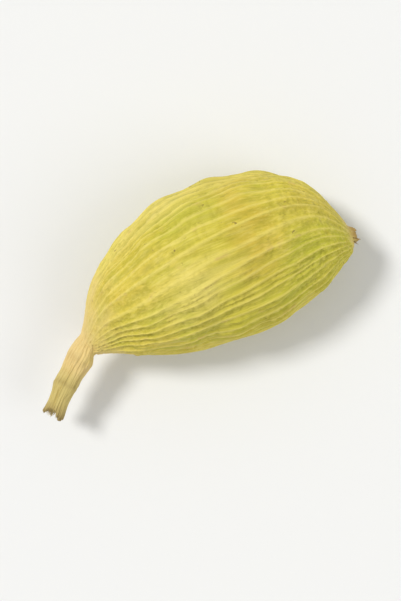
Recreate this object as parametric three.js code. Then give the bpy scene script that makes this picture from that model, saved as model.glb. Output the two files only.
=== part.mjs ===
// Green cardamom pod: one dried fruit capsule with its stalk, lying on one of its three faces.
// Millimetres, +Z up. The origin is on the flat spot that the pod rests on, below its middle.
// +X runs from the stalk end to the tip, and +Y is the side that the pod bows towards.

import * as THREE from 'three';

// Body of the pod, from the joint with the stalk to the tip
const BODY_LENGTH = 17.9;
const BODY_MIDDLE_X = -0.2;
const BODY_HALF_WIDTH = 4.9;
const BODY_HALF_HEIGHT = 4.5;
const STALK_HALF_CURVE = { power: 1.9, root: 0.76 };
const TIP_HALF_CURVE = { power: 2.7, root: 0.6 };

// Middle line of the body: it bows to +Y, and its ends drop a little
const CREST_Y = 0.15;
const BOW_TO_STALK = { drop: 1.0, power: 1.6 };
const BOW_TO_TIP = { drop: 2.0, power: 8 };
const BEND_ENDS_AT = 0.975;
const BEAK_SLOPE = -0.35;
const CREST_Z = 4.02;
const END_DROP_Z = 0.45;

// Cross-section: a rounded triangle that grows rounder towards the stalk
const ANGLES = 3;
const ANGLE_SHARPNESS = 0.065;
const ROLL = THREE.MathUtils.degToRad(10);

// Stalk: it leaves the body turned to one side, swells at a knee and ends where it broke off
const STALK_TURN = THREE.MathUtils.degToRad(42);
const STALK_END_X = -12.6;
const STALK_RADIUS = 0.58;
const STALK_JOINT = { x: -9.15, y: -2.0, z: 3.6 };
const STALK_FALL = 0.17;
const STALK_BEND = 0.16;
const COLLAR = { x: -9.5, swell: 0.24, reach: 1.0 };
const KNEE = { x: -11.0, swell: 0.09, reach: 0.45 };
const BROKEN_END = { swell: 0.1, reach: 0.5 };

// Beak: the short dried remains of the flower at the tip
const BEAK_END_X = 9.15;
const BEAK_RADIUS = 0.5;
const BEAK_TAPER = 0.12;

// Ribs that run from end to end, with the strongest on the three angles
const RIBS = 33;
const RIB_HEIGHT = 0.14;
const ANGLE_RIB_HEIGHT = 0.24;
const RIB_BREADTH = 0.24;
const TWIST = 0.09;

// Swellings over the seeds inside, in two staggered rows along each angle
const SEED_PITCH = 3.1;
const SEED_SWELL = 0.09;

// Hollows where the husk sank as it dried: place along the pod, place among the ribs,
// reach along the pod, reach in ribs, and depth
const DENTS = [
  { x: 3.1, rib: 30.2, length: 2.6, ribs: 2.6, depth: 0.34 },
  { x: -4.2, rib: 4.0, length: 3.0, ribs: 2.4, depth: 0.26 },
  { x: 4.6, rib: 5.7, length: 2.2, ribs: 2.0, depth: 0.22 },
  { x: -2.4, rib: 24.9, length: 3.2, ribs: 2.6, depth: 0.28 },
  { x: 5.4, rib: 14.5, length: 2.4, ribs: 2.2, depth: 0.25 },
];

// Fineness of the surface
const COLUMNS_PER_RIB = 3;
const BODY_STATIONS = 38;
const STALK_STATIONS = 10;
const BEAK_STATIONS = 2;

const { smoothstep, clamp } = THREE.MathUtils;

function smoothMin(a, b, reach) {
  const share = clamp(0.5 + (0.5 * (b - a)) / reach, 0, 1);
  return b + (a - b) * share - reach * share * (1 - share);
}

function smoothMax(a, b, reach) {
  return -smoothMin(-a, -b, reach);
}

function hump(x, middle, reach) {
  return Math.exp(-(((x - middle) / reach) ** 2));
}

// Place along the body: -1 at the joint with the stalk, 0 in the middle and 1 at the tip
function alongBody(x) {
  return clamp((x - BODY_MIDDLE_X) / (BODY_LENGTH / 2), -1, 1);
}

// Share of the full width or height that the body has at a place along it
function bodyShare(t) {
  const curve = t < 0 ? STALK_HALF_CURVE : TIP_HALF_CURVE;
  return (1 - Math.abs(t) ** curve.power) ** curve.root;
}

function middleLine(x) {
  const t = (x - BODY_MIDDLE_X) / (BODY_LENGTH / 2);
  const bent = smoothMin(t, BEND_ENDS_AT, 0.05);
  const bow = t < 0 ? BOW_TO_STALK : BOW_TO_TIP;
  const beakY = BEAK_SLOPE * (t - bent) * (BODY_LENGTH / 2);
  const bodyY = CREST_Y - bow.drop * Math.abs(bent) ** bow.power + beakY;
  const bodyZ = CREST_Z - END_DROP_Z * t * t;
  const back = x - STALK_JOINT.x;
  const stalkY = STALK_JOINT.y + Math.tan(STALK_TURN) * back;
  const bend = STALK_BEND * hump(x, KNEE.x, 1.2);
  const stalkZ = STALK_JOINT.z + STALK_FALL * back;
  return new THREE.Vector3(
    x,
    smoothMin(stalkY, bodyY, 0.9) + bend,
    smoothMin(stalkZ, bodyZ, 0.5),
  );
}

function stalkRadius(x) {
  const collar = COLLAR.swell * hump(x, COLLAR.x, COLLAR.reach);
  const knee = KNEE.swell * hump(x, KNEE.x, KNEE.reach);
  const brokenEnd = BROKEN_END.swell * hump(x, STALK_END_X, BROKEN_END.reach);
  return (STALK_RADIUS + collar + knee + brokenEnd) * (1 - smoothstep(x, -9.0, -7.0));
}

function beakRadius(x) {
  return (BEAK_RADIUS - BEAK_TAPER * smoothstep(x, 8.4, BEAK_END_X)) * smoothstep(x, 7.0, 8.4);
}

// Half-width or half-height of the section at x, with the stalk and the beak faired in
function halfSize(x, bodyHalf) {
  const body = bodyHalf * bodyShare(alongBody(x));
  return smoothMax(smoothMax(body, stalkRadius(x), 0.35), beakRadius(x), 0.3);
}

// Turn of the section's plane about the vertical, so that it stands square to the stalk
function planeTurn(x) {
  return STALK_TURN * (1 - smoothstep(x, -10.1, -8.3));
}

// Angle round the section at a place among the ribs, which are unevenly spaced
function ribAngle(place) {
  const turn = (2 * Math.PI * place) / RIBS;
  const uneven = 0.22 * Math.sin(5 * turn + 0.7) + 0.08 * Math.sin(11 * turn + 2.0);
  return (2 * Math.PI * (place + uneven)) / RIBS;
}

// Shortest way round from one rib to another, counted in ribs
function ribsApart(place, rib) {
  const gap = (((place - rib) % RIBS) + RIBS) % RIBS;
  return Math.min(gap, RIBS - gap);
}

// How far the surface stands out from the smooth section
function relief(x, place, halfWidth) {
  const nearest = Math.round(place) % RIBS;
  const onAngle = nearest % (RIBS / ANGLES) === 0;
  const strength = 0.75 + 0.35 * Math.sin(2.39 * nearest + 1.0 + 0.3 * x);
  const height = onAngle ? ANGLE_RIB_HEIGHT : RIB_HEIGHT * strength;
  const rib = height * hump(place, Math.round(place), RIB_BREADTH);
  const turn = (2 * Math.PI * place) / RIBS;
  const seeds = SEED_SWELL * Math.cos((2 * Math.PI * x) / SEED_PITCH) * Math.sin(ANGLES * turn);
  const onBody = smoothstep(halfWidth, 0.6, 3.6);
  let out = rib * Math.max(onBody, 0.22) + seeds * onBody;
  for (const dent of DENTS) {
    const across = ribsApart(place, dent.rib) / dent.ribs;
    out -= dent.depth * hump(x, dent.x, dent.length) * Math.exp(-across * across) * onBody;
  }
  return out;
}

// Point of the surface at x and a place among the ribs. The share shrinks the section, for
// the rings that close an end.
function surfacePoint(x, place, share) {
  const middle = middleLine(x);
  const turn = planeTurn(x);
  const sideways = new THREE.Vector3(-Math.sin(turn), Math.cos(turn), 0);
  const halfWidth = halfSize(x, BODY_HALF_WIDTH);
  const halfHeight = halfSize(x, BODY_HALF_HEIGHT);
  const t = alongBody(x);
  const angle = ribAngle(place) + ROLL + TWIST * Math.sin(1.7 * t);
  const angleTurn = (2 * Math.PI * place) / RIBS;
  const sharpness = ANGLE_SHARPNESS * smoothstep(halfWidth, 0.8, 3.5);
  const reach = 1 + sharpness * Math.cos(ANGLES * angleTurn);
  const out = relief(x, place, halfWidth);
  const across = (halfWidth * reach + out) * Math.sin(angle) * share;
  const up = (halfHeight * reach + out) * Math.cos(angle) * share;
  const point = middle.addScaledVector(sideways, across);
  point.z = Math.max(point.z + up, 0);
  return point;
}

// Sections from the broken end of the stalk to the end of the beak
function stations() {
  const bodyStart = BODY_MIDDLE_X - BODY_LENGTH / 2;
  const bodyEnd = BODY_MIDDLE_X + BODY_LENGTH / 2;
  const list = [
    { x: STALK_END_X, share: 0.55 },
    { x: STALK_END_X, share: 0.9 },
  ];
  for (let i = 0; i < STALK_STATIONS; i += 1) {
    const x = THREE.MathUtils.lerp(STALK_END_X + 0.12, bodyStart - 0.1, i / (STALK_STATIONS - 1));
    list.push({ x, share: 1 });
  }
  for (let i = 1; i < BODY_STATIONS; i += 1) {
    const x = BODY_MIDDLE_X - (BODY_LENGTH / 2) * Math.cos((Math.PI * i) / BODY_STATIONS);
    list.push({ x, share: 1 });
  }
  for (let i = 0; i < BEAK_STATIONS; i += 1) {
    const x = THREE.MathUtils.lerp(bodyEnd + 0.06, BEAK_END_X - 0.12, i / (BEAK_STATIONS - 1));
    list.push({ x, share: 1 });
  }
  list.push({ x: BEAK_END_X, share: 0.72 });
  list.push({ x: BEAK_END_X - 0.14, share: 0.36 });
  return list;
}

// Closed surface over all the sections, with a point in the middle of each end
function podGeometry() {
  const sections = stations();
  const columns = RIBS * COLUMNS_PER_RIB;
  const positions = [];
  for (const section of sections) {
    for (let j = 0; j < columns; j += 1) {
      positions.push(...surfacePoint(section.x, j / COLUMNS_PER_RIB, section.share));
    }
  }
  const stalkPole = positions.length / 3;
  positions.push(...middleLine(sections[0].x));
  const beakPole = stalkPole + 1;
  positions.push(...middleLine(sections.at(-1).x));

  const triangles = [];
  const last = sections.length - 1;
  for (let j = 0; j < columns; j += 1) {
    const next = (j + 1) % columns;
    triangles.push(stalkPole, j, next);
    for (let i = 0; i < last; i += 1) {
      const a = i * columns + j;
      const b = i * columns + next;
      const c = a + columns;
      const d = b + columns;
      triangles.push(a, c, d);
      triangles.push(a, d, b);
    }
    triangles.push(beakPole, last * columns + next, last * columns + j);
  }

  const geometry = new THREE.BufferGeometry();
  geometry.setAttribute('position', new THREE.Float32BufferAttribute(positions, 3));
  geometry.setIndex(triangles);
  geometry.computeVertexNormals();
  return geometry;
}

const huskMaterial = new THREE.MeshStandardMaterial({
  color: 0xc8ba58,
  roughness: 0.62,
  metalness: 0,
});

const pod = new THREE.Mesh(podGeometry(), huskMaterial);
pod.name = 'cardamom_pod';

const group = new THREE.Group();
group.add(pod);

export default group;
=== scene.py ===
import math

import bpy
import numpy as np
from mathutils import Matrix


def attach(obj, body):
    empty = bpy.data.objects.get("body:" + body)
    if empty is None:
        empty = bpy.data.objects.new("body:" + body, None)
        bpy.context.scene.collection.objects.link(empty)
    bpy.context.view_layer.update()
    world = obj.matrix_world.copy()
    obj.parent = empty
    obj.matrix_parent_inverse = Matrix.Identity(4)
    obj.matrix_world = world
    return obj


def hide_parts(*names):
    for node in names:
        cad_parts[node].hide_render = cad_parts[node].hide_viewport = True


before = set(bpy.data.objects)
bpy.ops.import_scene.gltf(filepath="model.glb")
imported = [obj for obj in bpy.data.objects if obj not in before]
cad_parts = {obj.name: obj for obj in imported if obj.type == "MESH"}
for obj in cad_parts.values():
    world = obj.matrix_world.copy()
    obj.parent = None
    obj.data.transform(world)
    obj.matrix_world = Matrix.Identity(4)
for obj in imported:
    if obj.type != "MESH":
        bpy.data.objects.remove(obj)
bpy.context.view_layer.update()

# The husk is one closed, papery wall that runs from the broken end of the stalk over the body
# to the beak at the tip. It grew in one piece: a rounded three-sided body that bows to one
# side, with faint swellings over the seeds and hollows where it sank as it dried.
MM = 0.001
# Sizes are in millimetres: x runs along the pod, y across its bow, and z up from the floor
BODY_LENGTH = 17.9
BODY_MIDDLE_X = -0.2
BODY_START_X = BODY_MIDDLE_X - BODY_LENGTH / 2
BODY_END_X = BODY_MIDDLE_X + BODY_LENGTH / 2
BODY_HALF_WIDTH = 4.9
BODY_HALF_HEIGHT = 4.5
# The body narrows to each end as (1 - t ** power) ** root, where t is 0 in its middle
STALK_HALF_POWER, STALK_HALF_ROOT = 1.9, 0.76
TIP_HALF_POWER, TIP_HALF_ROOT = 2.7, 0.6
CREST_Y = 0.15
BOW_TO_STALK, BOW_TO_STALK_POWER = 1.0, 1.6
BOW_TO_TIP, BOW_TO_TIP_POWER = 2.0, 8
BEND_ENDS_AT, BEND_BLEND = 0.975, 0.05
BEAK_SLOPE = -0.35
CREST_Z = 4.02
END_DROP_Z = 0.45
ANGLES = 3
ANGLE_SHARPNESS = 0.065
# Half-widths at which the three angles, and the relief of the body, start and are full
ANGLES_GROW = (0.8, 3.5)
RELIEF_GROWS = (0.6, 3.6)
ROLL = math.radians(10)
TWIST, TWIST_RATE = 0.09, 1.7
STALK_TURN = math.radians(42)
STALK_TURNS_OVER = (-10.1, -8.3)
STALK_END_X = -12.6
STALK_RADIUS = 0.58
STALK_JOINT = (-9.15, -2.0, 3.6)
STALK_JOINT_BLEND_Y, STALK_JOINT_BLEND_Z = 0.9, 0.5
STALK_FALL = 0.17
STALK_BEND, STALK_BEND_REACH = 0.16, 1.2
STALK_FADES_OVER = (-9.0, -7.0)
STALK_BLEND = 0.35
# Middle, height and reach of each swelling of the stalk
COLLAR = (-9.5, 0.24, 1.0)
KNEE = (-11.0, 0.09, 0.45)
BROKEN_END = (STALK_END_X, 0.1, 0.5)
BEAK_END_X = 9.15
BEAK_RADIUS = 0.5
BEAK_TAPER = 0.12
BEAK_RISES_OVER = (7.0, 8.4)
BEAK_BLEND = 0.3
BEAK_LOBES, BEAK_LOBES_START, BEAK_LOBE_HEIGHT = 6, 1.0, 0.13
BEAK_LOBES_GROW = (8.2, 8.8)
RIBS = 33
# Waves that crowd and spread the ribs: share of the way between two, waves round, and start
RIB_CROWDING = [(0.22, 5, 0.7), (0.08, 11, 2.0)]
# Waves that the ribs wander by: share, seed, the most waves round the pod, and their length
RIB_WANDER = 0.24
RIB_WANDERING = [(1.0, 3, 5, 16), (0.2, 4, 16, 7)]
SEED_PITCH = 3.1
SEED_SWELL = 0.09
# Place along the pod, place among the ribs, reach along the pod, reach in ribs, and depth
DENTS = [
    (3.1, 30.2, 2.6, 2.6, 0.34),
    (-4.2, 4.0, 3.0, 2.4, 0.26),
    (4.6, 5.7, 2.2, 2.0, 0.22),
    (-2.4, 24.9, 3.2, 2.6, 0.28),
    (5.4, 14.5, 2.4, 2.2, 0.25),
]
# Waves that each end is torn back by: height, seed, and the most waves round the pod
STALK_FRAY, STALK_FRAY_REACH = 0.4, 0.4
STALK_TEARS = [(0.35, 12, 3), (0.35, 13, 48)]
BEAK_FRAY, BEAK_FRAY_REACH = 0.3, 0.35
BEAK_TEARS = [(0.5, 5, 11)]
WAVES = 7
WAVES_ADD_UP_TO = 3.2
# Columns of the mesh across each rib, closest together over its crest
COLUMN_OFFSETS = (0.0, 0.07, 0.17, 0.28, 0.39, 0.5, 0.61, 0.72, 0.83, 0.93)
STALK_RINGS = 52
BODY_RINGS = 214
BEAK_RINGS = 9
# Gaps before and after the rings of the stalk, and those of the beak
STALK_GAPS = (0.09, 0.05)
BEAK_GAPS = (0.03, 0.12)
# Depth inside the end, and share of full size, of the rings that close the stalk and the beak
STALK_CLOSING = [
    (0.34, 0.1), (0.26, 0.26), (0.3, 0.42), (0.22, 0.56),
    (0.24, 0.7), (0.1, 0.82), (0.03, 0.91), (0.03, 0.97),
]
BEAK_CLOSING = [(0.08, 0.96), (0.06, 0.84), (0.14, 0.72), (0.26, 0.56), (0.34, 0.34), (0.36, 0.14)]
STALK_POLE_DEPTH, BEAK_POLE_DEPTH = 0.03, 0.02


def smooth_min(a, b, reach):
    share = np.clip(0.5 + 0.5 * (b - a) / reach, 0, 1)
    return b + (a - b) * share - reach * share * (1 - share)


def smooth_max(a, b, reach):
    return -smooth_min(-a, -b, reach)


def smooth_step(x, low, high):
    share = np.clip((x - low) / (high - low), 0, 1)
    return share * share * (3 - 2 * share)


def hump(x, middle, reach):
    return np.exp(-(((x - middle) / reach) ** 2))


def swelling(x, place):
    middle, height, reach = place
    return height * hump(x, middle, reach)


def unevenness(turn, x, seed, rounds, length):
    """Smooth waves of about -1 to 1 that close round the pod, with up to this many rounds."""
    pick = np.random.default_rng(seed)
    total = 0.0
    for _ in range(WAVES):
        wave = pick.integers(1, rounds + 1) * turn + pick.uniform(-1, 1) * 2 * math.pi * x / length
        total = total + np.sin(wave + pick.uniform(0, 2 * math.pi))
    return total / WAVES_ADD_UP_TO


def along_body(x):
    """-1 where the body meets the stalk, 0 in its middle and 1 at its tip."""
    return (x - BODY_MIDDLE_X) / (BODY_LENGTH / 2)


def body_share(x):
    t = np.clip(along_body(x), -1, 1)
    power = np.where(t < 0, STALK_HALF_POWER, TIP_HALF_POWER)
    root = np.where(t < 0, STALK_HALF_ROOT, TIP_HALF_ROOT)
    return (1 - np.abs(t) ** power) ** root


def middle_line(x):
    """The middle of the pod's section at x, with the stalk faired into the body."""
    t = along_body(x)
    bent = smooth_min(t, BEND_ENDS_AT, BEND_BLEND)
    drop = np.where(t < 0, BOW_TO_STALK, BOW_TO_TIP)
    power = np.where(t < 0, BOW_TO_STALK_POWER, BOW_TO_TIP_POWER)
    body_y = CREST_Y - drop * np.abs(bent) ** power + BEAK_SLOPE * (t - bent) * BODY_LENGTH / 2
    body_z = CREST_Z - END_DROP_Z * t * t
    back = x - STALK_JOINT[0]
    stalk_y = STALK_JOINT[1] + math.tan(STALK_TURN) * back
    stalk_z = STALK_JOINT[2] + STALK_FALL * back
    bend = STALK_BEND * hump(x, KNEE[0], STALK_BEND_REACH)
    y = smooth_min(stalk_y, body_y, STALK_JOINT_BLEND_Y) + bend
    z = smooth_min(stalk_z, body_z, STALK_JOINT_BLEND_Z)
    return np.stack([x, y, z], -1)


def half_size(x, body_half):
    """Half the width or height of the section at x, with the stalk and the beak faired in."""
    stalk = STALK_RADIUS + swelling(x, COLLAR) + swelling(x, KNEE) + swelling(x, BROKEN_END)
    stalk = stalk * (1 - smooth_step(x, *STALK_FADES_OVER))
    beak = BEAK_RADIUS - BEAK_TAPER * smooth_step(x, BEAK_RISES_OVER[1], BEAK_END_X)
    beak = beak * smooth_step(x, *BEAK_RISES_OVER)
    body = body_half * body_share(x)
    return smooth_max(smooth_max(body, stalk, STALK_BLEND), beak, BEAK_BLEND)


def rib_angle(place):
    turn = 2 * math.pi * place / RIBS
    crowding = sum(height * np.sin(waves * turn + start) for height, waves, start in RIB_CROWDING)
    return 2 * math.pi * (place + crowding) / RIBS


def torn_edge(turn, tears):
    """How far the edge of an end is torn back, from 0 to 1 round the pod."""
    torn = 0.5
    for height, seed, rounds in tears:
        torn = torn + height * unevenness(turn, 0, seed, rounds, 1)
    return np.clip(torn, 0, 1)


def frayed(ring_x, turn, share):
    """The x of every point, with the broken end of the stalk and the beak torn back."""
    stalk_fray = STALK_FRAY * torn_edge(turn, STALK_TEARS)
    beak_fray = BEAK_FRAY * torn_edge(turn, BEAK_TEARS)
    x = ring_x + stalk_fray * hump(ring_x, STALK_END_X, STALK_FRAY_REACH) * share
    return x - beak_fray * hump(x, BEAK_END_X, BEAK_FRAY_REACH) * share


def swells_and_hollows(x, place, turn):
    """How far the husk stands out over the seeds, less how far it sinks where it has dents."""
    out = SEED_SWELL * np.cos(2 * math.pi * x / SEED_PITCH) * np.sin(ANGLES * turn)
    for dent_x, dent_rib, length, ribs, depth in DENTS:
        apart = np.abs(place - dent_rib) % RIBS
        apart = np.minimum(apart, RIBS - apart)
        out = out - depth * hump(x, dent_x, length) * hump(apart, 0, ribs)
    return out


def husk_rings():
    """The x and the share of full size of each ring, from the broken end to the beak."""
    stalk_depth, stalk_share = np.array(STALK_CLOSING).T
    beak_depth, beak_share = np.array(BEAK_CLOSING).T
    stalk_x = np.linspace(STALK_END_X + STALK_GAPS[0], BODY_START_X - STALK_GAPS[1], STALK_RINGS)
    over_body = np.linspace(0, math.pi, BODY_RINGS + 2)[1:-1]
    body_x = BODY_MIDDLE_X - BODY_LENGTH / 2 * np.cos(over_body)
    beak_x = np.linspace(BODY_END_X + BEAK_GAPS[0], BEAK_END_X - BEAK_GAPS[1], BEAK_RINGS)
    x = np.concatenate([STALK_END_X + stalk_depth, stalk_x, body_x, beak_x, BEAK_END_X - beak_depth])
    full = np.ones(STALK_RINGS + BODY_RINGS + BEAK_RINGS)
    return x, np.concatenate([stalk_share, full, beak_share])


def closed_tube(name, points, rings, columns):
    """A mesh over rings of points, with its ends closed on the two points that come last."""
    here = np.arange(columns)[None, :]
    beside = (here + 1) % columns
    start = np.arange(rings - 1)[:, None] * columns
    corners = [start + here, start + columns + here, start + columns + beside, start + beside]
    faces = np.stack(corners, -1).reshape(-1, 4).tolist()
    last = (rings - 1) * columns
    for j in range(columns):
        following = (j + 1) % columns
        faces.append((rings * columns, j, following))
        faces.append((rings * columns + 1, last + following, last + j))
    mesh = bpy.data.meshes.new(name)
    mesh.from_pydata(points.tolist(), [], faces)
    return mesh


def keep_fact(mesh, name, values):
    """Keeps one number, or one vector, for each point of the mesh."""
    kind, field = ("FLOAT", "value") if values.ndim == 1 else ("FLOAT_VECTOR", "vector")
    kept = mesh.attributes.new(name, kind, "POINT")
    kept.data.foreach_set(field, values.ravel().astype(np.float32))


def in_section(plane_turn, across, up):
    """A way across and up in the turned plane of a section, as x, y and z."""
    return np.stack([-np.sin(plane_turn) * across, np.cos(plane_turn) * across, up], -1)


def husk_form():
    """The pod without its ribs, and where each point is along it, round it and among the ribs."""
    ring_x, ring_share = husk_rings()
    place = (np.arange(RIBS)[:, None] + np.array(COLUMN_OFFSETS)[None, :]).reshape(1, -1)
    turn = 2 * math.pi * place / RIBS
    share = ring_share[:, None]
    x = frayed(ring_x[:, None], turn, share)
    half_width = half_size(x, BODY_HALF_WIDTH)
    half_height = half_size(x, BODY_HALF_HEIGHT)
    reach = 1 + ANGLE_SHARPNESS * smooth_step(half_width, *ANGLES_GROW) * np.cos(ANGLES * turn)
    lobes = np.sin(BEAK_LOBES * turn + BEAK_LOBES_START)
    reach = reach + BEAK_LOBE_HEIGHT * smooth_step(x, *BEAK_LOBES_GROW) * lobes
    on_body = smooth_step(half_width, *RELIEF_GROWS)
    out = swells_and_hollows(x, place, turn) * on_body
    waves = sum(height * unevenness(turn, x, *wave) for height, *wave in RIB_WANDERING)
    twist = TWIST * np.sin(TWIST_RATE * np.clip(along_body(x), -1, 1))
    angle = rib_angle(place + RIB_WANDER * waves) + ROLL + twist
    across = (half_width * reach + out) * np.sin(angle) * share
    up = (half_height * reach + out) * np.cos(angle) * share
    plane_turn = STALK_TURN * (1 - smooth_step(x, *STALK_TURNS_OVER))
    points = middle_line(x) + in_section(plane_turn, across, up)
    end_x = np.array([ring_x[0] + STALK_POLE_DEPTH, ring_x[-1] - BEAK_POLE_DEPTH])
    points = np.vstack([points.reshape(-1, 3), middle_line(end_x)]) * MM
    mesh = closed_tube("cardamom_husk", points, len(ring_x), place.size)

    whole = np.ones_like(angle)
    for name, values, at_ends in (
        ("along", x, end_x),
        ("rib_place", place, [0, 0]),
        ("on_body", on_body, [0, 0]),
        ("share", share, [0, 0]),
    ):
        keep_fact(mesh, name, np.append((values * whole).ravel(), at_ends))
    outwards = in_section(plane_turn, np.sin(angle), np.cos(angle)).reshape(-1, 3)
    keep_fact(mesh, "outwards", np.vstack([outwards, [[-1, 0, 0], [1, 0, 0]]]))
    radius = half_width * share
    grain = np.stack([radius * np.cos(angle), radius * np.sin(angle), x * whole], -1).reshape(-1, 3)
    keep_fact(mesh, "grain", np.vstack([grain, [[0, 0, end_x[0]], [0, 0, end_x[1]]]]))
    return mesh


# Ribs run over the whole husk from end to end, the strongest on its three angles, with fine
# veins between them and creases across the furrows. They grew as strands in the wall, and
# stand out because the soft tissue between them shrank.
RIB_HEIGHT = 0.17
ANGLE_RIB_HEIGHT = 0.23
HALF_RIB_HEIGHT = 0.09
VEIN_HEIGHT = 0.025
CREASE_DEPTH = 0.1
BUCKLE_DEPTH = 0.13
STRAND_HEIGHT = 0.09
RING_HEIGHT = 0.035
RELIEF_SEED = 3.0
# Breadths, and the place of a vein, as shares of the way from one rib to the next
RIB_BREADTH = 0.25
CREST_BREADTH = 0.1
HALF_RIB_BREADTH = 0.13
VEIN_BREADTH = 0.06
VEIN_PLACE = 0.28
CREST_SHARE = 0.4
HALF_RIB_CREST = 0.7
WEAKEST_RIB = 0.3
RELIEF_OFF_BODY = 0.25
CREASE_BREADTH = 0.08
# Middle and reach of each ring, on a scale along the stalk that wanders with its noise
KNEE_RING = (KNEE[0] + 0.25, 0.14)
COLLAR_RING = (COLLAR[0] + 0.1, 0.2)
COLLAR_RING_SHARE = 0.5
RING_WANDER, RING_SHIFT = 1.1, 0.3
# Streaks along the grain: features a millimetre round the pod and along it, seed and detail
CREASE_STREAKS = (0.8, 2.1, 11.0, 3.0)
RING_STREAKS = (1.6, 0.2, 39.0, 3.0)
# The same, then the noise at which they start and are full, and what they rise from and to
RIB_FADING = (1.1, 0.3, 0.0, 2.0, 0.3, 0.6, 0.2, 1.0)
HALF_RIBS = (0.9, 0.22, 33.0, 2.0, 0.46, 0.6, 0.0, 1.0)
VEINS = (1.6, 0.25, 6.0, 2.0, 0.42, 0.62, 0.0, 1.0)
CREASED_AREAS = (0.5, 0.4, 15.0, 2.0, 0.35, 0.55, 0.0, 1.0)
BUCKLES = (0.45, 0.35, 21.0, 2.0, 0.3, 0.7, -0.35, 0.65)
STALK_STRANDS = (4.5, 0.5, 27.0, 1.0, 0.35, 0.6, -0.6, 0.4)
# Points stop at the surface that the pod lies on, and are free to either side
LOWEST_POINT = (-1.0, -1.0, 0.0)


def add_node(tree, kind, inputs=None, **settings):
    """A node with its settings, and its inputs either linked or given a value."""
    made = tree.nodes.new(kind)
    for name, value in settings.items():
        setattr(made, name, value)
    for key, value in (inputs or {}).items():
        if isinstance(value, bpy.types.NodeSocket):
            tree.links.new(value, made.inputs[key])
        else:
            made.inputs[key].default_value = value
    return made


def work_out(tree, operation, *values):
    """The result of one Math node."""
    return add_node(tree, "ShaderNodeMath", dict(enumerate(values)), operation=operation).outputs[0]


def work_out_vector(tree, operation, inputs):
    """The result of one Vector Math node."""
    return add_node(tree, "ShaderNodeVectorMath", inputs, operation=operation).outputs[0]


def multiply(tree, first, *others):
    for other in others:
        first = work_out(tree, "MULTIPLY", first, other)
    return first


def bell(tree, value, middle, reach):
    """1 where value is at middle, and falling away over reach."""
    off = work_out(tree, "DIVIDE", work_out(tree, "SUBTRACT", value, middle), reach)
    return work_out(tree, "EXPONENT", multiply(tree, off, off, -1.0))


def ramp(tree, value, low, high, to_low=0.0, to_high=1.0):
    """Runs smoothly from to_low to to_high as value runs from low to high."""
    return add_node(tree, "ShaderNodeMapRange", {
        "Value": value, "From Min": low, "From Max": high, "To Min": to_low, "To Max": to_high,
    }, interpolation_type="SMOOTHSTEP").outputs[0]


def new_tree(name, kind, inputs, outputs):
    """A node tree with these sockets, and the sockets of its input and output nodes."""
    tree = bpy.data.node_groups.new(name, kind)
    for in_out, sockets in (("INPUT", inputs), ("OUTPUT", outputs)):
        for socket_name, socket_type, *default in sockets:
            made = tree.interface.new_socket(socket_name, in_out=in_out, socket_type=socket_type)
            if default:
                made.default_value = default[0]
    return tree, tree.nodes.new("NodeGroupInput").outputs, tree.nodes.new("NodeGroupOutput").inputs


def grain_noise(kind):
    """Noise that follows the grain of the husk, with so many features a millimetre each way."""
    tree, given, result = new_tree("grain noise", kind, [
        ("Grain", "NodeSocketVector"),
        ("Round it", "NodeSocketFloat", 1.0),
        ("Along it", "NodeSocketFloat", 1.0),
        ("Seed", "NodeSocketFloat", 0.0),
        ("Detail", "NodeSocketFloat", 2.0),
    ], [("Share", "NodeSocketFloat")])
    features = add_node(tree, "ShaderNodeCombineXYZ", {
        0: given["Round it"], 1: given["Round it"], 2: given["Along it"],
    }).outputs[0]
    noise = add_node(tree, "ShaderNodeTexNoise", {
        "Vector": work_out_vector(tree, "MULTIPLY", {0: given["Grain"], 1: features}),
        "W": given["Seed"], "Scale": 1.0, "Detail": given["Detail"],
    }, noise_dimensions="4D")
    tree.links.new(noise.outputs[0], result[0])
    return tree


GRAIN_NOISE = {kind: grain_noise(kind) for kind in ("GeometryNodeTree", "ShaderNodeTree")}


def streaks(tree, grain, round_it, along_it, seed, detail):
    """Grain noise as a group node in either kind of tree."""
    return add_node(tree, tree.bl_idname.replace("NodeTree", "NodeGroup"), {
        "Grain": grain, "Round it": round_it, "Along it": along_it, "Seed": seed, "Detail": detail,
    }, node_tree=GRAIN_NOISE[tree.bl_idname]).outputs[0]


def kept_fact(tree, name, kind="FLOAT"):
    made = add_node(tree, "GeometryNodeInputNamedAttribute", {"Name": name}, data_type=kind)
    return made.outputs["Attribute"]


def relief_streaks(tree, given, round_it, along_it, later, detail):
    """Streaks of the relief, with a seed that comes this far after the seed of the tree."""
    grain = kept_fact(tree, "grain", "FLOAT_VECTOR")
    seed = work_out(tree, "ADD", given["Seed"], later)
    return streaks(tree, grain, round_it, along_it, seed, detail)


def comes_and_goes(tree, given, pattern):
    """Rises and falls as the streaks of the pattern come and go."""
    *noise, low, high, to_low, to_high = pattern
    return ramp(tree, relief_streaks(tree, given, *noise), low, high, to_low, to_high)


def rib_height(tree, given, nearest):
    """The height of a rib: uneven from rib to rib and along it, but full on the angles."""
    number = work_out(tree, "ADD", work_out(tree, "MODULO", nearest, float(RIBS)), given["Seed"])
    chance = add_node(tree, "ShaderNodeTexWhiteNoise", {"W": number}, noise_dimensions="1D").outputs[0]
    strength = work_out(tree, "MULTIPLY_ADD", chance, 1 - WEAKEST_RIB, WEAKEST_RIB)
    common = multiply(tree, given["Rib height"], strength, comes_and_goes(tree, given, RIB_FADING))
    on_angle = work_out(tree, "LESS_THAN", work_out(tree, "MODULO", nearest, RIBS / ANGLES), 0.5)
    return add_node(tree, "ShaderNodeMix", {
        0: on_angle, 2: common, 3: given["Angle rib height"],
    }).outputs[0]


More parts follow.
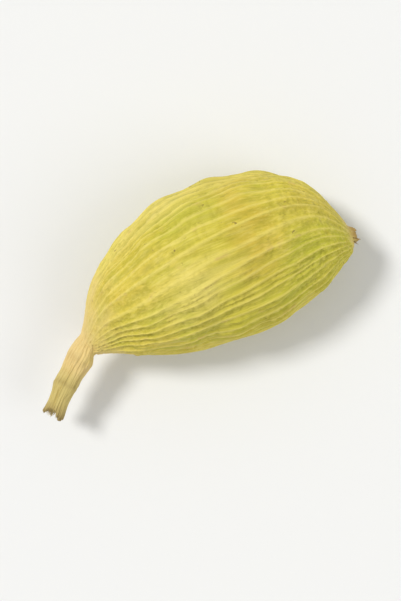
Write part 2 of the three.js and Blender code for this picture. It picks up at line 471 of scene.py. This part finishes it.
def rib_crest(tree, given, off_rib):
    """1 on the crest of a rib, which is a sharp ridge along a broad one."""
    broad = multiply(tree, bell(tree, off_rib, 0.0, given["Rib breadth"]), 1 - CREST_SHARE)
    sharp = multiply(tree, bell(tree, off_rib, 0.0, given["Crest breadth"]), CREST_SHARE)
    return work_out(tree, "ADD", broad, sharp)


def crease_lines(tree, given):
    """1 along the creases, in the areas that have them."""
    off_line = work_out(tree, "SUBTRACT", relief_streaks(tree, given, *CREASE_STREAKS), 0.5)
    line = ramp(tree, work_out(tree, "ABSOLUTE", off_line), 0.0, CREASE_BREADTH, 1.0, 0.0)
    return multiply(tree, line, comes_and_goes(tree, given, CREASED_AREAS))


def stalk_rings(tree, given):
    """1 on the ring at the knee, and less on the one at the collar."""
    along = work_out(tree, "SUBTRACT", kept_fact(tree, "along"), RING_SHIFT)
    ring_noise = relief_streaks(tree, given, *RING_STREAKS)
    wandering = work_out(tree, "MULTIPLY_ADD", ring_noise, RING_WANDER, along)
    collar_ring = multiply(tree, bell(tree, wandering, *COLLAR_RING), COLLAR_RING_SHARE)
    return work_out(tree, "ADD", bell(tree, wandering, *KNEE_RING), collar_ring)


def next_step(tree, shape, kind, inputs=None, **settings):
    """The geometry after one more node of the tree."""
    return add_node(tree, kind, {"Geometry": shape, **(inputs or {})}, **settings).outputs[0]


def end_tree(tree, shape, material, result):
    """Ends a tree with smooth faces, real geometry and the material."""
    shape = next_step(tree, shape, "GeometryNodeSetShadeSmooth")
    shape = next_step(tree, shape, "GeometryNodeRealizeInstances")
    shape = next_step(tree, shape, "GeometryNodeSetMaterial", {"Material": material})
    tree.links.new(shape, result[0])


def body_relief(tree, given, on_body):
    """How far the body's relief stands out, and 1 on its crests and along its creases."""
    place = kept_fact(tree, "rib_place")
    nearest = work_out(tree, "ROUND", place)
    off_rib = work_out(tree, "ABSOLUTE", work_out(tree, "SUBTRACT", place, nearest))
    crest = rib_crest(tree, given, off_rib)
    ribs = multiply(tree, rib_height(tree, given, nearest), crest)
    half_rib = bell(tree, off_rib, 0.5, given["Half rib breadth"])
    half_rib = multiply(tree, half_rib, comes_and_goes(tree, given, HALF_RIBS))
    half_ribs = multiply(tree, half_rib, given["Half rib height"])
    vein = bell(tree, off_rib, VEIN_PLACE, given["Vein breadth"])
    veins = multiply(tree, vein, comes_and_goes(tree, given, VEINS), given["Vein height"])
    crest_seen = work_out(tree, "MAXIMUM", crest, multiply(tree, half_rib, HALF_RIB_CREST))
    furrow = work_out(tree, "SUBTRACT", 1.0, crest_seen)
    crease = crease_lines(tree, given)
    creases = multiply(tree, crease, furrow, given["Crease depth"])
    raised = work_out(tree, "ADD", ribs, work_out(tree, "ADD", half_ribs, veins))
    raised = work_out(tree, "SUBTRACT", raised, creases)
    raised = multiply(tree, raised, work_out(tree, "MAXIMUM", on_body, RELIEF_OFF_BODY))
    buckles = multiply(tree, comes_and_goes(tree, given, BUCKLES), given["Buckle depth"], on_body)
    return work_out(tree, "SUBTRACT", raised, buckles), crest_seen, crease


def stalk_relief(tree, given, on_body):
    """How far the stalk's relief stands out, and 1 on its rings."""
    strands = multiply(tree, comes_and_goes(tree, given, STALK_STRANDS), given["Strand height"])
    rings = stalk_rings(tree, given)
    raised = work_out(tree, "ADD", strands, multiply(tree, rings, given["Ring height"]))
    return multiply(tree, raised, work_out(tree, "SUBTRACT", 1.0, on_body)), rings


def husk_relief():
    """The tree that raises the ribs, veins and creases on the husk."""
    tree, given, result = new_tree("husk relief", "GeometryNodeTree", [
        ("Geometry", "NodeSocketGeometry"),
        ("Rib height", "NodeSocketFloat", RIB_HEIGHT),
        ("Rib breadth", "NodeSocketFloat", RIB_BREADTH),
        ("Crest breadth", "NodeSocketFloat", CREST_BREADTH),
        ("Angle rib height", "NodeSocketFloat", ANGLE_RIB_HEIGHT),
        ("Half rib height", "NodeSocketFloat", HALF_RIB_HEIGHT),
        ("Half rib breadth", "NodeSocketFloat", HALF_RIB_BREADTH),
        ("Vein height", "NodeSocketFloat", VEIN_HEIGHT),
        ("Vein breadth", "NodeSocketFloat", VEIN_BREADTH),
        ("Crease depth", "NodeSocketFloat", CREASE_DEPTH),
        ("Buckle depth", "NodeSocketFloat", BUCKLE_DEPTH),
        ("Strand height", "NodeSocketFloat", STRAND_HEIGHT),
        ("Ring height", "NodeSocketFloat", RING_HEIGHT),
        ("Seed", "NodeSocketFloat", RELIEF_SEED),
        ("Husk material", "NodeSocketMaterial"),
    ], [("Geometry", "NodeSocketGeometry")])
    on_body = kept_fact(tree, "on_body")
    body_raised, crest, crease = body_relief(tree, given, on_body)
    stalk_raised, rings = stalk_relief(tree, given, on_body)
    raised = work_out(tree, "ADD", body_raised, stalk_raised)
    raised = multiply(tree, raised, kept_fact(tree, "share"), MM)

    shape = given["Geometry"]
    for name, value in (("crest", crest), ("crease", crease), ("ring", rings)):
        shape = next_step(tree, shape, "GeometryNodeStoreNamedAttribute", {
            "Name": name, "Value": value,
        }, data_type="FLOAT", domain="POINT")
    outwards = kept_fact(tree, "outwards", "FLOAT_VECTOR")
    normal = add_node(tree, "GeometryNodeInputNormal").outputs[0]
    way = add_node(tree, "ShaderNodeMix", {0: on_body, 4: outwards, 5: normal}, data_type="VECTOR")
    push = work_out_vector(tree, "SCALE", {0: way.outputs[1], "Scale": raised})
    shape = next_step(tree, shape, "GeometryNodeSetPosition", {"Offset": push})
    place_now = add_node(tree, "GeometryNodeInputPosition").outputs[0]
    kept_up = work_out_vector(tree, "MAXIMUM", {0: place_now, 1: LOWEST_POINT})
    shape = next_step(tree, shape, "GeometryNodeSetPosition", {"Position": kept_up})
    end_tree(tree, shape, given["Husk material"], result)
    return tree


def bake_nodes(piece, tree, values):
    """Runs the tree on the piece with these inputs, and keeps the result as a plain mesh."""
    modifier = piece.modifiers.new(tree.name, "NODES")
    modifier.node_group = tree
    for item in tree.interface.items_tree:
        if item.in_out == "INPUT" and item.name in values:
            modifier[item.identifier] = values[item.name]
    graph = bpy.context.evaluated_depsgraph_get()
    mesh = bpy.data.meshes.new_from_object(piece.evaluated_get(graph))
    piece.modifiers.clear()
    piece.data = mesh
    mesh.name = piece.name


# The husk's finish: a dry, satin skin, yellow-green where it kept its colour and straw to
# ochre where it lost it. It is paler along the ribs, partly its own colour and partly a painted
# highlight on their crests, and darker in the furrows, partly its own olive and partly painted
# shade; its creases carry painted shade too. Two pale patches are painted highlights. It has
# small brown specks, turns pinkish tan at the collar, and brown towards the two ends.
YELLOW_GREEN = (0.58, 0.51, 0.028, 1.0)
FRESH_GREEN = (0.46, 0.47, 0.02, 1.0)
STRAW = (0.68, 0.54, 0.065, 1.0)
OCHRE = (0.62, 0.44, 0.04, 1.0)
# Pale straw of the ribs and fibres, and also the painted highlight on the rib crests and in two patches
PALE = (0.80, 0.67, 0.16, 1.0)
# Olive of the furrows and fine lines, and also the painted shade in the furrows and creases
FURROW_OLIVE_AND_SHADE = (0.33, 0.30, 0.02, 1.0)
SCUFF_TAN = (0.62, 0.44, 0.12, 1.0)
COLLAR_TAN = (0.74, 0.55, 0.22, 1.0)
STALK_STRAW = (0.58, 0.46, 0.15, 1.0)
STALK_BROWN = (0.28, 0.19, 0.06, 1.0)
BEAK_BROWN = (0.40, 0.26, 0.07, 1.0)
SPECK_BROWN = (0.16, 0.09, 0.02, 1.0)
# Place along the pod, place among the ribs, reach along the pod, reach in ribs, strength, colour
PATCHES = [
    (0.8, 3.0, 2.6, 2.0, 0.6, FRESH_GREEN),
    (6.2, 29.8, 2.0, 2.4, 0.65, FRESH_GREEN),
    (2.8, 1.0, 1.0, 8.0, 0.7, OCHRE),
    (3.6, 27.2, 3.2, 2.0, 0.5, FRESH_GREEN),
    # The two pale patches are painted highlights: a broad one over the top near the middle, and a long
    # one along the upper flank that faces the key lamp
    (-1.8, 30.6, 2.4, 2.2, 0.8, PALE),
    (-2.0, 6.2, 7.0, 1.7, 0.85, PALE),
    (-4.4, 2.5, 2.4, 3.0, 0.4, OCHRE),
]
# Streaks along the grain: features a millimetre round the pod and along it, seed and detail
FIBRES = (3.0, 0.25, 6.0, 3.0)
FINE_LINES = (9.0, 0.5, 51.0, 2.0)
FINE_GRAIN = (13.0, 1.1, 37.0, 3.0)
CREPE = (5.0, 6.0, 41.0, 3.0)
RAISED_FIBRES = (6.0, 0.35, 61.0, 2.0)
PATCH_EDGES = (0.5, 0.35, 31.0, 3.0)
# The same, then the noise at which they start and are full, and their strength
CLOUDS = (0.24, 0.16, 2.0, 3.0, 0.38, 0.62, 1.0)
MOTTLE = (0.9, 0.5, 11.0, 3.0, 0.5, 0.68, 0.5)
SCUFFS = (1.3, 0.7, 17.0, 4.0, 0.6, 0.68, 0.7)
SPECKS = (3.6, 3.0, 23.0, 1.0, 0.68, 0.78, 0.8)
SPECKED_AREAS = (0.45, 0.3, 55.0, 2.0, 0.42, 0.62, 1.0)
STAINS = (1.0, 0.7, 29.0, 3.0, 0.66, 0.76, 0.45)
# Tints: colour, where it starts and where it is full in the values it follows, and strength
PALE_FIBRES = (PALE, 0.5, 0.75, 0.4)
OLIVE_FIBRES = (FURROW_OLIVE_AND_SHADE, 0.5, 0.3, 0.3)
# Painted shade: the furrows turn darker olive away from the rib crests, partly their own colour
OLIVE_FURROWS_AND_SHADE = (FURROW_OLIVE_AND_SHADE, 0.35, 0.0, 0.32)
# Painted highlight: the rib crests turn pale, partly their own straw colour
PALE_RIBS_AND_HIGHLIGHT = (PALE, 0.4, 1.0, 0.5)
OLIVE_LINES = (FURROW_OLIVE_AND_SHADE, 0.5, 0.3, 0.3)
PALE_LINES = (PALE, 0.5, 0.7, 0.3)
TAN_COLLAR = (COLLAR_TAN, -5.6, -9.2, 1.0)
STRAW_STALK = (STALK_STRAW, -9.8, -10.9, 1.0)
BROWN_STALK_END = (STALK_BROWN, -11.7, -12.6, 0.8)
TAN_BEAK = (COLLAR_TAN, 8.6, 9.1, 0.7)
BROWN_BEAK_END = (BEAK_BROWN, 8.95, 9.3, 1.0)
DARK_INSIDE = (SPECK_BROWN, 0.95, 0.6, 0.45)
# Strength of the painted shade in the creases
CREASE_SHADE_STRENGTH = 0.22
RING_STRENGTH = 0.3
# How far the edges of the colours wander: along the pod, among the ribs, and at the beak
WANDER_ALONG = 5.0
WANDER_ROUND = 3.0
WANDER_AT_BEAK = 0.7
# Noise of the fibres where the skin is dullest and where it is most satin, and its roughness
SKIN_ROUGHNESS = (0.3, 0.7, 0.74, 0.6)
RAISED_FIBRE_SHARE = 1.6
CREPE_SHARE = 0.6
BUMP_STRENGTH = 0.8
BUMP_HEIGHT = 0.045


def new_material(name):
    """A material with nothing in its tree, and that tree."""
    material = bpy.data.materials.new(name)
    material.use_nodes = True
    material.node_tree.nodes.clear()
    return material, material.node_tree


def end_material(tree, inputs):
    """Ends a material's tree with a Principled BSDF that has these inputs."""
    shader = add_node(tree, "ShaderNodeBsdfPrincipled", inputs)
    add_node(tree, "ShaderNodeOutputMaterial", {"Surface": shader.outputs[0]})


def mix_colour(tree, share, below, above):
    return add_node(tree, "ShaderNodeMix", {0: share, 6: below, 7: above}, data_type="RGBA").outputs[2]


def tinted(tree, colour, value, tint, low, high, strength):
    """The colour, turning to the tint as value runs from low to high."""
    return mix_colour(tree, ramp(tree, value, low, high, 0.0, strength), colour, tint)


def fact(tree, name, output="Fac"):
    return add_node(tree, "ShaderNodeAttribute", attribute_name=name).outputs[output]


def marks(tree, grain, pattern):
    """Up to its strength where the streaks of the pattern come, and 0 elsewhere."""
    *noise, low, high, strength = pattern
    return ramp(tree, streaks(tree, grain, *noise), low, high, 0.0, strength)


def patch_share(tree, along, place, middle, rib, length, ribs):
    """1 in the middle of a patch of colour, falling away along the pod and round it."""
    apart = work_out(tree, "WRAP", work_out(tree, "SUBTRACT", place, rib), RIBS / 2, -RIBS / 2)
    return multiply(tree, bell(tree, along, middle, length), bell(tree, apart, 0.0, ribs))


def ground_colour(tree, grain, along, place):
    """Yellow-green to straw, with mottles and patches; the two pale patches are painted highlights."""
    colour = mix_colour(tree, marks(tree, grain, CLOUDS), YELLOW_GREEN, STRAW)
    colour = mix_colour(tree, marks(tree, grain, MOTTLE), colour, FRESH_GREEN)
    for middle, rib, length, ribs, strength, tint in PATCHES:
        there = patch_share(tree, along, place, middle, rib, length, ribs)
        colour = mix_colour(tree, multiply(tree, there, strength), colour, tint)
    return colour


def ribbed_colour(tree, colour, fibres, crest):
    """The colour with fibres, olive furrows darkened with painted shade, painted shade in the creases,
    and pale ribs with a painted highlight on their crests.
    """
    colour = tinted(tree, colour, fibres, *PALE_FIBRES)
    colour = tinted(tree, colour, fibres, *OLIVE_FIBRES)
    # Painted shade: darker olive in the furrows, partly their own colour, and in the creases
    colour = tinted(tree, colour, crest, *OLIVE_FURROWS_AND_SHADE)
    crease = multiply(tree, fact(tree, "crease"), CREASE_SHADE_STRENGTH)
    colour = mix_colour(tree, crease, colour, FURROW_OLIVE_AND_SHADE)
    # Painted highlight on the rib crests, partly their own pale colour
    return tinted(tree, colour, crest, *PALE_RIBS_AND_HIGHLIGHT)


def worn_colour(tree, colour, grain, crest):
    """The colour with scuffed ribs, fine lines along the grain, specks and stains."""
    scuffs = multiply(tree, marks(tree, grain, SCUFFS), crest)
    colour = mix_colour(tree, scuffs, colour, SCUFF_TAN)
    lines = streaks(tree, grain, *FINE_LINES)
    colour = tinted(tree, colour, lines, *OLIVE_LINES)
    colour = tinted(tree, colour, lines, *PALE_LINES)
    specks = multiply(tree, marks(tree, grain, SPECKS), marks(tree, grain, SPECKED_AREAS))
    colour = mix_colour(tree, specks, colour, SPECK_BROWN)
    return mix_colour(tree, marks(tree, grain, STAINS), colour, OCHRE)


def colour_of_ends(tree, colour, fibres, along, along_blurred):
    """The colour with the tan, straw and brown of the stalk and beak, dark where they are torn."""
    colour = tinted(tree, colour, along_blurred, *TAN_COLLAR)
    colour = tinted(tree, colour, along, *STRAW_STALK)
    colour = tinted(tree, colour, along, *BROWN_STALK_END)
    rings = multiply(tree, fact(tree, "ring"), RING_STRENGTH)
    colour = mix_colour(tree, rings, colour, STALK_BROWN)
    towards_beak = work_out(tree, "MULTIPLY_ADD", fibres, WANDER_AT_BEAK, along)
    colour = tinted(tree, colour, towards_beak, *TAN_BEAK)
    colour = tinted(tree, colour, towards_beak, *BROWN_BEAK_END)
    return tinted(tree, colour, fact(tree, "share"), *DARK_INSIDE)


def skin_bump(tree, grain):
    """Grain, crepe and fibres that are too fine for the mesh."""
    crepe = multiply(tree, streaks(tree, grain, *CREPE), CREPE_SHARE)
    raised_fibres = streaks(tree, grain, *RAISED_FIBRES)
    height = work_out(tree, "MULTIPLY_ADD", raised_fibres, RAISED_FIBRE_SHARE, crepe)
    height = work_out(tree, "ADD", streaks(tree, grain, *FINE_GRAIN), height)
    return add_node(tree, "ShaderNodeBump", {
        "Strength": BUMP_STRENGTH, "Distance": BUMP_HEIGHT * MM, "Height": height,
    }).outputs[0]


def husk_material():
    material, tree = new_material("dried_green_husk")
    grain = fact(tree, "grain", "Vector")
    along = fact(tree, "along")
    crest = fact(tree, "crest")
    fibres = streaks(tree, grain, *FIBRES)
    blur = work_out(tree, "SUBTRACT", streaks(tree, grain, *PATCH_EDGES), 0.5)
    along_blurred = work_out(tree, "MULTIPLY_ADD", blur, WANDER_ALONG, along)
    place_blurred = work_out(tree, "MULTIPLY_ADD", blur, WANDER_ROUND, fact(tree, "rib_place"))
    colour = ground_colour(tree, grain, along_blurred, place_blurred)
    colour = ribbed_colour(tree, colour, fibres, crest)
    colour = worn_colour(tree, colour, grain, crest)
    colour = colour_of_ends(tree, colour, fibres, along, along_blurred)
    end_material(tree, {
        "Base Color": colour,
        "Roughness": ramp(tree, fibres, *SKIN_ROUGHNESS),
        "Normal": skin_bump(tree, grain),
    })
    return material


def new_object(name, data):
    made = bpy.data.objects.new(name, data)
    bpy.context.scene.collection.objects.link(made)
    return made


husk = new_object("cardamom_husk", husk_form())
bake_nodes(husk, husk_relief(), {"Husk material": husk_material()})
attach(husk, "root")
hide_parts("cardamom_pod")

# Torn fibres stand out of the broken end of the stalk, and dry shreds of the flower out of the
# beak. Both are tapered, bent strands of the pod's own tissue, rooted inside the rim.
ROOT_DEPTH = 0.5
ROOT_REACH = (0.35, 0.85)
A_LITTLE_WAY = 0.1
# Count, splay, seed, length and radius of the strands of each end
STALK_FIBRES = (26, 0.16, 8, 0.74, 0.026)
BEAK_SHREDS = (10, 0.35, 9, 0.5, 0.03)
STRAND_SIDES = 6
STRAND_STEPS = 7
SHORTEST_STRAND = 0.6
TAPER_STARTS_AT, TAPERED_TO = 0.2, 0.25
STRAND_BEND = 0.1
BENDS_A_MM = 2.2
# Noise keeps within about a quarter of its middle, and this spreads it from -1 to 1
NOISE_SPREAD = 4.0
STALK_FIBRE_TAN = (0.56, 0.43, 0.16, 1.0)
BEAK_SHRED_BROWN = (0.36, 0.24, 0.08, 1.0)
SPOTS_A_MM = 6.0
BROWN_SPOTS = (SPECK_BROWN, 0.35, 0.65, 1.0)
# Along a strand: where the spots start to fade and stop, and their strength at each
SPOTS_FADE = (0.3, 1.0, 0.85, 0.35)
STRAND_ROUGHNESS = 0.7


def strand_roots(name, root_x, outwards, turn, count, splay, seed):
    """Points inside an end of the pod, each with the way that its strand goes."""
    pick = np.random.default_rng(seed)
    angle = pick.uniform(0, 2 * math.pi, count)[:, None]
    reach = pick.uniform(*ROOT_REACH, count)[:, None]
    root = middle_line(np.array(root_x))
    beyond = middle_line(np.array(root_x + outwards * A_LITTLE_WAY))
    way = (beyond - root) / np.linalg.norm(beyond - root)
    sideways = np.array([-math.sin(turn), math.cos(turn), 0.0])
    off = np.sin(angle) * sideways + np.cos(angle) * np.array([0.0, 0.0, 1.0])
    mesh = bpy.data.meshes.new(name)
    points = root + off * reach * half_size(root_x, BODY_HALF_WIDTH)
    mesh.from_pydata((points * MM).tolist(), [], [])
    keep_fact(mesh, "way", way + off * reach * splay)
    return mesh


def bent_lines(tree, given, out):
    """A line of uneven length from each root, which bends more and more towards its tip."""
    line = add_node(tree, "GeometryNodeCurvePrimitiveLine", {"End": (0.0, 0.0, MM)}).outputs[0]
    line = add_node(tree, "GeometryNodeResampleCurve", {"Curve": line, "Count": STRAND_STEPS}).outputs[0]
    chance = add_node(tree, "FunctionNodeRandomValue", {
        2: SHORTEST_STRAND, 3: 1.0, "Seed": given["Seed"],
    }).outputs[1]
    length = multiply(tree, chance, given["Length"])
    way = kept_fact(tree, "way", "FLOAT_VECTOR")
    rotation = add_node(tree, "FunctionNodeAlignRotationToVector", {"Vector": way}, axis="Z").outputs[0]
    scale = add_node(tree, "ShaderNodeCombineXYZ", {0: 1.0, 1: 1.0, 2: length}).outputs[0]
    lines = add_node(tree, "GeometryNodeInstanceOnPoints", {
        "Points": given["Geometry"], "Instance": line, "Rotation": rotation, "Scale": scale,
    }).outputs[0]
    lines = next_step(tree, lines, "GeometryNodeRealizeInstances")
    place = add_node(tree, "GeometryNodeInputPosition").outputs[0]
    noise = add_node(tree, "ShaderNodeTexNoise", {
        "Vector": place, "Scale": BENDS_A_MM / MM, "Detail": 1.0,
    }, noise_dimensions="3D").outputs["Color"]
    sway = work_out_vector(tree, "SUBTRACT", {0: noise, 1: (0.5, 0.5, 0.5)})
    bend = multiply(tree, given["Bend"], out, out, NOISE_SPREAD * MM)
    sway = work_out_vector(tree, "SCALE", {0: sway, "Scale": bend})
    return next_step(tree, lines, "GeometryNodeSetPosition", {"Offset": sway})


def torn_strands():
    """The tree that grows a tapered, bent strand from each root."""
    tree, given, result = new_tree("torn strands", "GeometryNodeTree", [
        ("Geometry", "NodeSocketGeometry"),
        ("Length", "NodeSocketFloat", 1.0),
        ("Radius", "NodeSocketFloat", 1.0),
        ("Bend", "NodeSocketFloat", STRAND_BEND),
        ("Seed", "NodeSocketInt", 1),
        ("Strand material", "NodeSocketMaterial"),
    ], [("Geometry", "NodeSocketGeometry")])
    out = add_node(tree, "GeometryNodeSplineParameter").outputs[0]
    lines = next_step(tree, bent_lines(tree, given, out), "GeometryNodeStoreNamedAttribute", {
        "Name": "out", "Value": out,
    }, data_type="FLOAT", domain="POINT")
    section = add_node(tree, "GeometryNodeCurvePrimitiveCircle", {
        "Resolution": STRAND_SIDES, "Radius": MM,
    }).outputs[0]
    taper = ramp(tree, out, TAPER_STARTS_AT, 1.0, 1.0, TAPERED_TO)
    strands = add_node(tree, "GeometryNodeCurveToMesh", {
        "Curve": lines, "Profile Curve": section,
        "Scale": multiply(tree, taper, given["Radius"]), "Fill Caps": True,
    }).outputs[0]
    end_tree(tree, strands, given["Strand material"], result)
    return tree


def strand_material(name, colour):
    """The strand's own colour, with brown spots that are strongest towards its root."""
    material, tree = new_material(name)
    place = add_node(tree, "ShaderNodeTexCoord").outputs["Object"]
    noise = add_node(tree, "ShaderNodeTexNoise", {
        "Vector": place, "Scale": SPOTS_A_MM / MM, "Detail": 2.0,
    }).outputs[0]
    spotted = tinted(tree, colour, noise, *BROWN_SPOTS)
    spotted = mix_colour(tree, ramp(tree, fact(tree, "out"), *SPOTS_FADE), colour, spotted)
    end_material(tree, {"Base Color": spotted, "Roughness": STRAND_ROUGHNESS})
    return material


strand_tree = torn_strands()
for name, root_x, outwards, turn, strand_sizes, material in (
    (
        "stalk_fibres", STALK_END_X + ROOT_DEPTH, -1, STALK_TURN, STALK_FIBRES,
        strand_material("torn_stalk_fibre", STALK_FIBRE_TAN),
    ),
    (
        "beak_shreds", BEAK_END_X - ROOT_DEPTH, 1, 0.0, BEAK_SHREDS,
        strand_material("dry_flower_shred", BEAK_SHRED_BROWN),
    ),
):
    count, splay, seed, length, radius = strand_sizes
    strands = new_object(name, strand_roots(name, root_x, outwards, turn, count, splay, seed))
    bake_nodes(strands, strand_tree, {"Length": length, "Radius": radius, "Strand material": material})
    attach(strands, "root")
    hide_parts("cardamom_pod")

# Floor: a plain pale sheet, far wider than the pod, that it lies on. It curves up at its rim
# all round, as a studio's sweep does, so that it has no edge in a low view.
FLOOR_RADIUS = 0.25
SWEEP_RADIUS = 0.6
SWEEP_ANGLE = math.radians(42)
SWEEP_RINGS = 24
FLOOR_SIDES = 96
FLOOR_COLOUR = (0.8, 0.8, 0.785, 1.0)
FLOOR_ROUGHNESS = 0.8
round_floor = np.arange(FLOOR_SIDES) * 2 * math.pi / FLOOR_SIDES
rise_angle = np.linspace(0, SWEEP_ANGLE, SWEEP_RINGS)[:, None]
floor_reach = FLOOR_RADIUS + SWEEP_RADIUS * np.sin(rise_angle)
floor_points = np.stack([
    floor_reach * np.cos(round_floor),
    floor_reach * np.sin(round_floor),
    SWEEP_RADIUS * (1 - np.cos(rise_angle)) * np.ones(FLOOR_SIDES),
], -1)
floor_faces = [tuple(range(FLOOR_SIDES))]
for ring in range(SWEEP_RINGS - 1):
    for side in range(FLOOR_SIDES):
        inner = ring * FLOOR_SIDES
        outer = inner + FLOOR_SIDES
        following = (side + 1) % FLOOR_SIDES
        floor_faces.append((inner + side, outer + side, outer + following, inner + following))
floor_mesh = bpy.data.meshes.new("floor")
floor_mesh.from_pydata(floor_points.reshape(-1, 3).tolist(), [], floor_faces)
floor_mesh.shade_smooth()
floor_material, floor_tree = new_material("pale_floor")
end_material(floor_tree, {"Base Color": FLOOR_COLOUR, "Roughness": FLOOR_ROUGHNESS})
floor_mesh.materials.append(floor_material)
floor = new_object("floor", floor_mesh)

# Light: a soft, even light from above the upper left of the picture, a weaker one from the
# other side, and a pale surround.
SURROUND_STRENGTH = 0.52
# Where each lamp stands, how many degrees across it looks from the pod, and its strength
KEY_LAMP = ((-0.14, 0.165, 0.3), 14.0, 1.9)
FILL_LAMP = ((0.2, -0.18, 0.26), 36.0, 0.55)
world = bpy.data.worlds.new("pale surround")
bpy.context.scene.world = world
world.use_nodes = True
surround = world.node_tree.nodes["Background"]
surround.inputs["Color"].default_value = (1.0, 1.0, 1.0, 1.0)
surround.inputs["Strength"].default_value = SURROUND_STRENGTH


def soft_lamp(name, place, spread, strength):
    lamp_data = bpy.data.lights.new(name, "SUN")
    lamp_data.angle = math.radians(spread)
    lamp_data.energy = strength
    lamp = new_object(name, lamp_data)
    lamp.location = place
    lamp.rotation_euler = (-lamp.location).to_track_quat("-Z", "Y").to_euler()


soft_lamp("key lamp", *KEY_LAMP)
soft_lamp("fill lamp", *FILL_LAMP)

# Camera: it looks straight down on the pod, which lies as it is seen in the photograph, with
# its stalk at the lower left and its tip at the right.
VIEW_TURN = math.radians(22)
VIEW_MIDDLE = (-1.38 * MM, -1.81 * MM)
VIEW_WIDTH = 24.5 * MM
VIEW_LENS = 150.0
SENSOR_WIDTH = 36.0
VIEW_NEAR, VIEW_FAR = 0.005, 10.0
camera_data = bpy.data.cameras.new("camera")
camera_data.lens = VIEW_LENS
camera_data.sensor_fit = "HORIZONTAL"
camera_data.sensor_width = SENSOR_WIDTH
camera_data.clip_start = VIEW_NEAR
camera_data.clip_end = VIEW_FAR
camera = new_object("camera", camera_data)
camera_height = VIEW_WIDTH * VIEW_LENS / SENSOR_WIDTH + CREST_Z * MM
camera.location = (*VIEW_MIDDLE, camera_height)
camera.rotation_euler = (0.0, 0.0, -VIEW_TURN)
bpy.context.scene.camera = camera
bpy.context.scene.view_settings.view_transform = "Standard"
